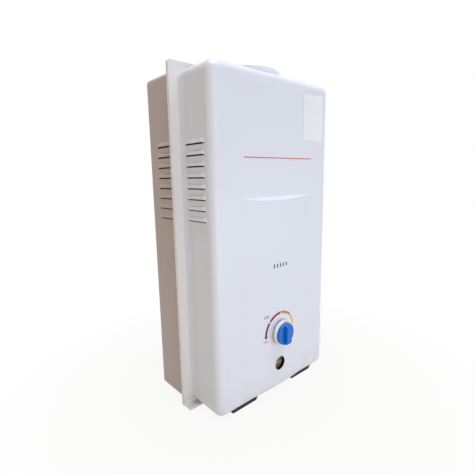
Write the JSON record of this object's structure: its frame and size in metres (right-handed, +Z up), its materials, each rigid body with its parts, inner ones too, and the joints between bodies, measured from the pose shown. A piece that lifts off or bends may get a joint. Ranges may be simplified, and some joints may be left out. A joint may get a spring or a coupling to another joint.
{
  "type": "gas water heater",
  "caption": "Wall-hung instantaneous gas water heater: bow-front enamelled cover, louvred sides, flanged frame, flue collar and a push-and-turn gas knob over its valves and burner.",
  "frame": {"origin": "middle of the width and depth, on the ground under the feet", "axes": "+X to the right seen from the front, +Y from the front to the wall behind, +Z up"},
  "size_m": [0.342, 0.2126, 0.628],
  "materials": {
    "white_enamel": "gloss stove enamel",
    "rear_enamel": "gloss enamel, warm grey",
    "black_rubber": "matte moulded rubber",
    "zinc_steel": "zinc plated",
    "copper": null,
    "brass": "turned and cast brass",
    "die_cast": "die cast, as cast",
    "blue_plastic": "gloss moulded",
    "white_plastic": "gloss moulded",
    "dark_plastic": "matte moulded",
    "ceramic": null
  },
  "bodies": {
    "casing": {"front_cover": "white_enamel", "rear_case": "rear_enamel", "pipe_plate": "rear_enamel", "mounting_frame": "white_enamel", "front_feet": "black_rubber", "rear_feet": "black_rubber", "cover_screws": "zinc_steel", "frame_screws": "zinc_steel", "flue_collar": "white_enamel", "draught_hood": "zinc_steel", "combustion_chamber": "copper", "chamber_brackets": "zinc_steel", "exchanger_fins": "copper", "exchanger_tubes": "copper", "overheat_switch": "dark_plastic", "burner_tray": "zinc_steel", "burner_bars": "zinc_steel", "gas_manifold": "brass", "injectors": "brass", "pilot_burner": "brass", "thermocouple": "copper", "spark_electrode": "ceramic", "igniter_unit": "dark_plastic", "gas_tap_body": "die_cast", "tap_front_plate": "die_cast", "gas_valve_spring": "zinc_steel", "diaphragm": "black_rubber", "water_valve_body": "brass", "water_valve_cover": "brass", "valve_screws": "zinc_steel", "cold_inlet_union": "brass", "cold_pipe": "copper", "riser_pipe": "copper", "hot_pipe": "copper", "hot_outlet_union": "brass", "gas_inlet_union": "brass", "lock_nuts": "brass", "gas_pipe": "zinc_steel", "gas_riser": "zinc_steel"},
    "plug": {"tap_plug": "brass", "knob_spring": "zinc_steel"},
    "knob": {"knob_cap": "blue_plastic", "knob_skirt": "white_plastic", "knob_spindle": "brass", "knob_bush": "brass"},
    "valve_rod": {"push_rod": "zinc_steel", "gas_valve_disc": "black_rubber"},
    "adjuster": {"flow_adjuster": "brass"}
  },
  "joints": [
    {"name": "knob_turn", "type": "hinge", "parent": "casing", "child": "plug", "pos_m": [0, -0.0325, 0.1325], "axis": [0, 1, 0], "range_deg": [-90, 90]},
    {"name": "knob_push", "type": "slide", "parent": "plug", "child": "knob", "axis": [0, 1, 0], "range_m": [0, 0.005], "stiffness_N_per_m": 800, "springref_m": -0.004, "deforming": ["knob_spring"]},
    {"name": "rod_lift", "type": "slide", "parent": "casing", "child": "valve_rod", "axis": [0, 0, 1], "range_m": [0, 0.004], "stiffness_N_per_m": 600, "springref_m": -0.004, "deforming": ["gas_valve_spring"]},
    {"name": "adjuster_turn", "type": "hinge", "parent": "casing", "child": "adjuster", "pos_m": [0, -0.0675, 0.0645], "axis": [0, 1, 0], "range_deg": [0, 270]}
  ]
}
